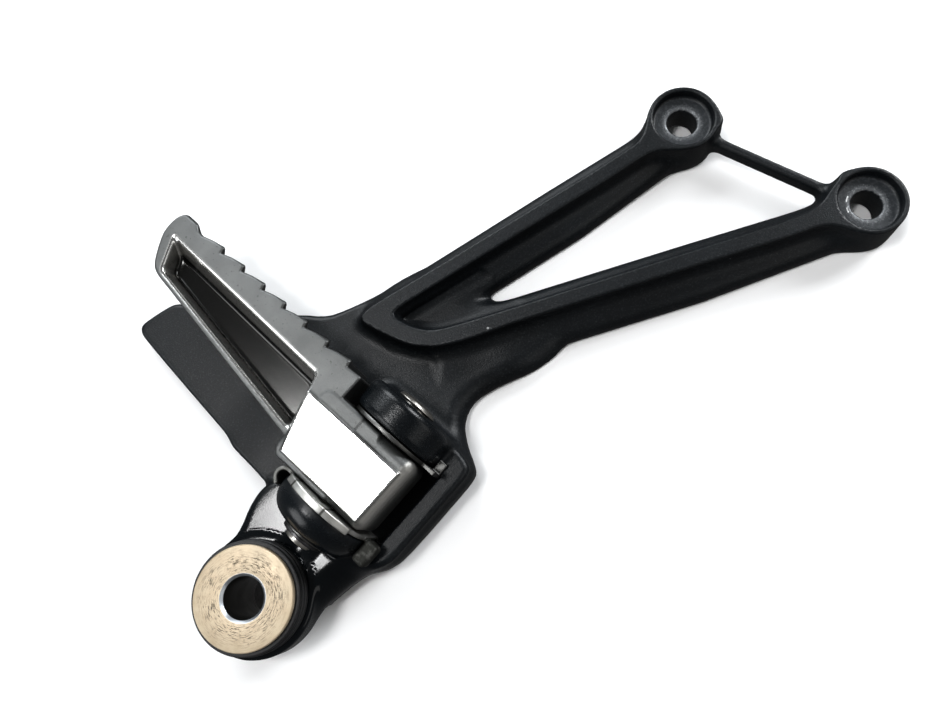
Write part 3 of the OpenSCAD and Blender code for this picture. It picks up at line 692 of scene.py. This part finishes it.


# Cast skin with a polished pad and painted highlights along the channel rims, both from the bright mask. The channel
# walls and the root's end edge are painted lighter as painted light, and the channel floor is painted dark as a painted
# dim reflection.
def pegMaterial(c):
    m, tree, shader, place = newMaterial("bareAluminium")
    grain = noise(tree, place, 2200.0, 3.0, 0.65)
    broad = noise(tree, place, 85.0, 4.0, 0.6)
    speck = remap(tree, noise(tree, place, 1300.0, 1.0), 0.68, 0.74)
    bright, floor, wall, edge = (attribute(tree, name) for name in ("bright", "floor", "wall", "edge"))
    plain = calc(tree, "SUBTRACT", 1.0, calc(tree, "MAXIMUM", bright, floor))
    plain = calc(tree, "MULTIPLY", plain, calc(tree, "SUBTRACT", 1.0, calc(tree, "MULTIPLY", wall, 0.62)))
    colour = mixColour(tree, remap(tree, broad, 0.3, 0.7), c["dark"], c["base"])
    colour = mixColour(tree, calc(tree, "MULTIPLY", speck, 0.6), colour, c["speck"])
    # channel walls and the root's rounded end edge painted lighter: painted light
    colour = mixColour(tree, calc(tree, "MAXIMUM", wall, edge), colour, c["wall"])
    # the channel floor painted dark: a painted dim reflection in the recessed floor
    colour = mixColour(tree, floor, colour, c["floor"])
    # polished pad colour, also used as a painted highlight along the channel rims
    colour = mixColour(tree, bright, colour, c["polished"])
    tree.links.new(colour, shader.inputs["Base Color"])
    rough = calc(tree, "ADD", remap(tree, grain, 0.3, 0.7, 0.15, 0.21), calc(tree, "MULTIPLY", plain, 0.30))
    tree.links.new(rough, shader.inputs["Roughness"])
    height = calc(tree, "MULTIPLY", grain, calc(tree, "ADD", calc(tree, "MULTIPLY", plain, 0.96), 0.04))
    tree.links.new(bump(tree, height, 0.35, 0.00012), shader.inputs["Normal"])
    shader.inputs["Metallic"].default_value = 0.95
    return m


def metalMaterial(name, colour, dark, roughness, scale, strength):
    m, tree, shader, place = newMaterial(name)
    grain = noise(tree, place, scale, 3.0, 0.6)
    broad = noise(tree, place, 140.0, 2.0)
    tree.links.new(mixColour(tree, remap(tree, broad, 0.35, 0.65), dark, colour), shader.inputs["Base Color"])
    tree.links.new(remap(tree, grain, 0.3, 0.7, roughness[0], roughness[1]), shader.inputs["Roughness"])
    tree.links.new(bump(tree, grain, strength, 0.00008), shader.inputs["Normal"])
    shader.inputs["Metallic"].default_value = 1.0
    return m


# The bright steel with a dull, worn tab and two scribed marks, both from masks on the piece.
def stopperMaterial(name, colour, dark, roughness, scale, strength):
    m = metalMaterial(name, colour, dark, roughness, scale, strength)
    tree = m.node_tree
    shader = tree.nodes["Principled BSDF"]
    plain = shader.inputs["Base Color"].links[0].from_socket
    rough = shader.inputs["Roughness"].links[0].from_socket
    place = tree.nodes.new("ShaderNodeTexCoord").outputs["Object"]
    dull, mark = attribute(tree, "dull"), attribute(tree, "mark")
    dull = calc(tree, "MULTIPLY", dull, remap(tree, noise(tree, place, 420.0, 3.0, 0.6), 0.66, 0.50, 0.86, 1.0))
    tinted = mixColour(tree, dull, plain, (0.060, 0.061, 0.056, 1))
    tree.links.new(mixColour(tree, mark, tinted, (0.05, 0.05, 0.045, 1)), shader.inputs["Base Color"])
    tree.links.new(calc(tree, "ADD", rough, calc(tree, "MULTIPLY", dull, 0.3)), shader.inputs["Roughness"])
    return m


def rubberMaterial():
    m, tree, shader, place = newMaterial("blackRubber")
    grain = noise(tree, place, 1800.0, 3.0, 0.6)
    colour = mixColour(tree, grain, (0.008, 0.008, 0.009, 1), (0.020, 0.020, 0.021, 1))
    tree.links.new(colour, shader.inputs["Base Color"])
    tree.links.new(remap(tree, grain, 0.3, 0.7, 0.42, 0.6), shader.inputs["Roughness"])
    tree.links.new(bump(tree, grain, 0.2, 0.0001), shader.inputs["Normal"])
    return m


zinc = {"base": (0.36, 0.290, 0.200, 1), "pale": (0.455, 0.380, 0.275, 1), "scuff": (0.05, 0.040, 0.030, 1)}


# Yellow zinc with scuffs that run round the bore: noise read in turned coordinates, radius and angle.
def zincMaterial(c):
    m, tree, shader, place = newMaterial("yellowZinc")
    shift = node(tree, "ShaderNodeMapping", {"Vector": place, "Location": (0.186, 0, 0)}).outputs[0]
    parts = node(tree, "ShaderNodeSeparateXYZ", {"Vector": shift}).outputs
    x, y, z = parts[0], parts[1], parts[2]
    radius = calc(tree, "SQRT", calc(tree, "ADD", calc(tree, "MULTIPLY", x, x), calc(tree, "MULTIPLY", y, y)))
    angle = calc(tree, "ARCTAN2", y, x)
    polar = node(tree, "ShaderNodeCombineXYZ", {"X": calc(tree, "MULTIPLY", radius, 3400.0),
                                                "Y": calc(tree, "MULTIPLY", angle, 4.5), "Z": 0.0}).outputs[0]
    dashes = remap(tree, noise(tree, polar, 1.0, 4.0, 0.8), 0.50, 0.57)
    zone = calc(tree, "MULTIPLY", remap(tree, radius, 0.0062, 0.0074), remap(tree, radius, 0.0134, 0.0098))
    patch = remap(tree, noise(tree, place, 260.0, 2.0), 0.36, 0.56)
    patch = calc(tree, "ADD", calc(tree, "MULTIPLY", patch, 0.6), 0.3)
    scuff = calc(tree, "MULTIPLY", dashes, calc(tree, "MULTIPLY", zone, patch))
    dots = remap(tree, noise(tree, place, 900.0, 2.0, 0.6), 0.68, 0.74)
    scuff = calc(tree, "MAXIMUM", scuff, calc(tree, "MULTIPLY", dots, 0.45))
    broad = noise(tree, place, 220.0, 3.0)
    colour = mixColour(tree, remap(tree, broad, 0.3, 0.7), c["base"], c["pale"])
    colour = mixColour(tree, scuff, colour, c["scuff"])
    steel = remap(tree, radius, 0.00645, 0.00625)                    # the bare chamfer at the bore
    colour = mixColour(tree, steel, colour, (0.50, 0.53, 0.56, 1))
    # the bore's inner wall painted near-black: painted shade inside the bore
    boreShade = remap(tree, radius, 0.00565, 0.00552)
    colour = mixColour(tree, boreShade, colour, (0.05, 0.048, 0.045, 1))
    tree.links.new(colour, shader.inputs["Base Color"])
    outward = node(tree, "ShaderNodeCombineXYZ", {"X": calc(tree, "MULTIPLY", radius, 9000.0)}).outputs[0]
    rings = noise(tree, outward, 1.0, 2.0)                           # the fine circles left by the lathe
    height = calc(tree, "SUBTRACT", rings, calc(tree, "MULTIPLY", scuff, 2.0))
    tree.links.new(bump(tree, height, 0.12, 0.00005), shader.inputs["Normal"])
    rough = calc(tree, "ADD", remap(tree, broad, 0.3, 0.7, 0.34, 0.44), calc(tree, "MULTIPLY", scuff, 0.3))
    tree.links.new(rough, shader.inputs["Roughness"])
    tree.links.new(calc(tree, "ADD", calc(tree, "MULTIPLY", steel, 0.6), 0.35), shader.inputs["Metallic"])
    return m


hx, hy, hz = hangerPoints.T
boltDist = np.minimum(np.hypot(hx, hy), np.hypot(hx - hangerSizes["bossB"][0], hy - hangerSizes["bossB"][1]))
addMask(hanger, "machined", (boltDist < 8.4) * (hz < 9.9) * (hz > 8.9))
addMask(hanger, "boltRadius", boltDist)
earFace = ease(-np.abs(hx + 124), -6.5, -4.0) * ease(hz, 14, 17)
armSkin = ease(-hx, 154, 159) * ease(hz, 2, 6) * (1 - ease(hy, 14, 20))
addMask(hanger, "gloss", np.maximum(armSkin * (1 - 0.3 * ease(hz, 15, 19)), earFace * 0.5))
give(hanger, coatMaterial(coat))
pegZ = pegPoints[:, 2]
faceDepth = np.minimum(pegSizes["high"] - pegZ, pegZ - pegSizes["low"])
inChannel = channelShape(pegPoints[:, 0], pegPoints[:, 1], faceDepth)
fromRim = np.abs(channelShape(pegPoints[:, 0], pegPoints[:, 1], 0 * pegZ))
nearRim = np.clip(1 - fromRim / 0.9, 0, 1) * (faceDepth < 1.2)
channelSkin = ease(-np.abs(inChannel), -0.6, -0.3)
deep = ease(faceDepth, pegSizes["depth"] - 1.5, pegSizes["depth"] - 0.5) * channelSkin
pegTopPad = ease(pegZ, 28.35, 28.6)
# the root's rounded end edge, painted lighter with the wall colour: a painted highlight
rootEdgeHighlight = ease(-pegPoints[:, 1], 9.6, 10.8) * ease(pegZ, 20, 25) * (1 - pegTopPad)
# channel floor mask: painted dark, a painted dim reflection
addMask(peg, "floor", deep)
# channel walls mask: painted lighter, painted light
addMask(peg, "wall", channelSkin * (1 - deep))
addMask(peg, "edge", rootEdgeHighlight)
# bright mask: painted highlight along the channel rims, plus the real polished pad on top
addMask(peg, "bright", np.maximum(ease(nearRim, 0.15, 0.6), pegTopPad))
give(peg, pegMaterial(castMetal))
give(grommet, rubberMaterial())
give(collar, zincMaterial(zinc))
steels = {                                     # two shades, roughness from and to, grain, bump
    "pinSteel": ((0.55, 0.53, 0.50, 1), (0.36, 0.35, 0.33, 1), (0.30, 0.36), 900.0, 0.03),
    "plainSteel": ((0.17, 0.17, 0.165, 1), (0.11, 0.11, 0.105, 1), (0.34, 0.46), 900.0, 0.05),
    "springSteel": ((0.10, 0.10, 0.105, 1), (0.06, 0.06, 0.06, 1), (0.34, 0.46), 900.0, 0.05),
    "brightSteel": ((0.74, 0.74, 0.71, 1), (0.52, 0.52, 0.50, 1), (0.34, 0.46), 1500.0, 0.08),
    "ballSteel": ((0.74, 0.74, 0.75, 1), (0.66, 0.66, 0.67, 1), (0.08, 0.14), 900.0, 0.15),
}
give(pin, metalMaterial("pinSteel", *steels["pinSteel"]))
give(washer, metalMaterial("plainSteel", *steels["plainSteel"]))
give(thrust, bpy.data.materials["plainSteel"])
give(clip, metalMaterial("springSteel", *steels["springSteel"]))
sy = stopperPoints[:, 1]
addMask(stopper, "dull", np.maximum(1 - ease(sy, -13.6, -13.0), 0.75 * ease(sy, 11.0, 13.0)))
scribed = np.minimum(np.abs(sy - 7.9), np.abs(sy + 3.4))
addMask(stopper, "mark", ease(-scribed, -0.42, -0.22) * 0.85)
give(stopper, stopperMaterial("brightSteel", *steels["brightSteel"]))
give(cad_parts["detent_spring"], bpy.data.materials["springSteel"])
give(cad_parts["detent_ball"], metalMaterial("ballSteel", *steels["ballSteel"]))
print("materials made")

for piece, nodeName, body, slotName in (
        (hanger, "hanger", "hanger_body", "black_coat"),
        (peg, "footpeg", "footpeg_body", "bare_aluminium"),
        (grommet, "exhaust_grommet", "hanger_body", "black_rubber"),
        (collar, "exhaust_collar", "hanger_body", "yellow_zinc"),
        (pin, "hinge_pin", "hanger_body", "pin_steel"),
        (washer, "pin_washer", "hanger_body", "plain_steel"),
        (clip, "pin_clip", "hanger_body", "spring_steel"),
        (stopper, "stopper_plate", "hanger_body", "bright_steel"),
        (thrust, "thrust_plate", "hanger_body", "plain_steel")):
    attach(piece, body)
    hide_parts(nodeName)


studio = {
    "floorSize": 6.0, "floorColour": (0.94, 0.94, 0.94, 1), "world": (1.0, 1.0, 1.0, 1), "worldStrength": 0.13,
    "lights": [                                # name, place in m, target in m, sides in m, power in W, colour
        ("overhead", (-0.36, 0.33, 1.20), (-0.15, 0.0, 0.0), (0.27, 0.21), 5.4, (1.0, 1.0, 1.0)),
        ("front", (0.30, -1.20, 0.75), (-0.10, 0.0, 0.0), (1.1, 0.8), 3.0, (1.0, 0.985, 0.96)),
        ("left", (-1.30, 0.50, 0.75), (-0.10, 0.0, 0.0), (0.9, 0.9), 9.0, (0.97, 0.985, 1.0)),
        ("back", (0.45, 1.30, 0.85), (-0.10, 0.0, 0.0), (1.1, 0.9), 19.0, (0.94, 0.975, 1.0)),
        ("right", (1.20, -0.20, 0.60), (-0.10, 0.0, 0.0), (0.5, 0.7), 15.0, (0.96, 0.98, 1.0)),
    ],
}


def aimed(place, target):  # an area light shines down its own -Z
    return (Vector(target) - Vector(place)).to_track_quat("-Z", "Y").to_euler()


def addStudio(s):
    half, low = s["floorSize"] / 2, -0.00005
    mesh = bpy.data.meshes.new("floor")
    corners = [(-half, -half, low), (half, -half, low), (half, half, low), (-half, half, low)]
    mesh.from_pydata(corners, [], [(0, 1, 2, 3)])
    floor = bpy.data.objects.new("floor", mesh)
    floor.visible_glossy = False               # the photograph shows no white table mirrored in the dark sides
    bpy.context.scene.collection.objects.link(floor)
    m, tree, shader, _ = newMaterial("paleTable")
    shader.inputs["Base Color"].default_value = s["floorColour"]
    shader.inputs["Roughness"].default_value = 0.6
    give(floor, m)
    world = bpy.data.worlds.new("studio")
    world.use_nodes = True
    world.node_tree.nodes["Background"].inputs[0].default_value = s["world"]
    world.node_tree.nodes["Background"].inputs[1].default_value = s["worldStrength"]
    bpy.context.scene.world = world
    for name, place, target, sides, power, colour in s["lights"]:
        data = bpy.data.lights.new(name, "AREA")
        data.energy = power
        data.shape = "RECTANGLE"
        data.size, data.size_y = sides
        data.color = colour
        light = bpy.data.objects.new(name, data)
        light.location = place
        light.rotation_euler = aimed(place, target)
        bpy.context.scene.collection.objects.link(light)


addStudio(studio)
bpy.context.scene.view_settings.view_transform = "Standard"
bpy.context.scene.view_settings.look = "Medium High Contrast"
print(f"studio ready, {time.time() - startTime:.1f} s")
